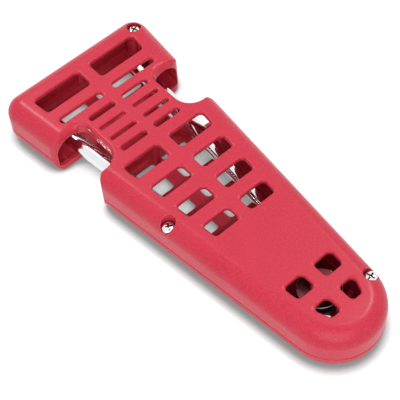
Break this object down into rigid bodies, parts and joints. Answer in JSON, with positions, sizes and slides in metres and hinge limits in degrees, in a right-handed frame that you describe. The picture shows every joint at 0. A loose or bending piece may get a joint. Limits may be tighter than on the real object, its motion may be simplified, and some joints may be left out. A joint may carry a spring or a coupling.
{
  "type": "one-handed triangle",
  "caption": "Flat tapered two-piece moulded case with finger notches and windows, holding a steel triangle rod bent to a narrow V and a swinging inner beater; shaken in one hand, muted with a finger.",
  "frame": {"origin": "middle of the case in plan, on the flat outer face of the rear cover that it lies on", "axes": "+Z out of the front cover, +Y along the case toward its wide head, +X to the right seen from the front"},
  "size_m": [0.0846, 0.208, 0.0254],
  "materials": {
    "red_plastic": "fine-grained moulded gloss",
    "chromed_steel": "polished",
    "brown_rubber": "matte",
    "plated_steel": "bright plated",
    "natural_nylon": "matte",
    "blackened_steel": "oil-blackened to brown, bright at the rim"
  },
  "bodies": {
    "case": {"front_cover": "red_plastic", "rear_cover": "red_plastic", "triangle_bar": "chromed_steel", "apex_grommet": "brown_rubber", "left_corner_pad": "brown_rubber", "right_corner_pad": "brown_rubber", "head_screw": "plated_steel", "side_screw": "plated_steel", "tip_screw": "plated_steel", "pivot_pin": "plated_steel", "front_washer": "natural_nylon", "rear_washer": "natural_nylon", "bend_washer": "blackened_steel"},
    "beater": {"striker_arm": "plated_steel", "striker_ball": "chromed_steel"}
  },
  "joints": [
    {"name": "beater_swing", "type": "hinge", "parent": "case", "child": "beater", "pos_m": [0, -0.0258, 0.0114], "axis": [0, 0, 1], "range_deg": [-13.5, 13.5]}
  ]
}
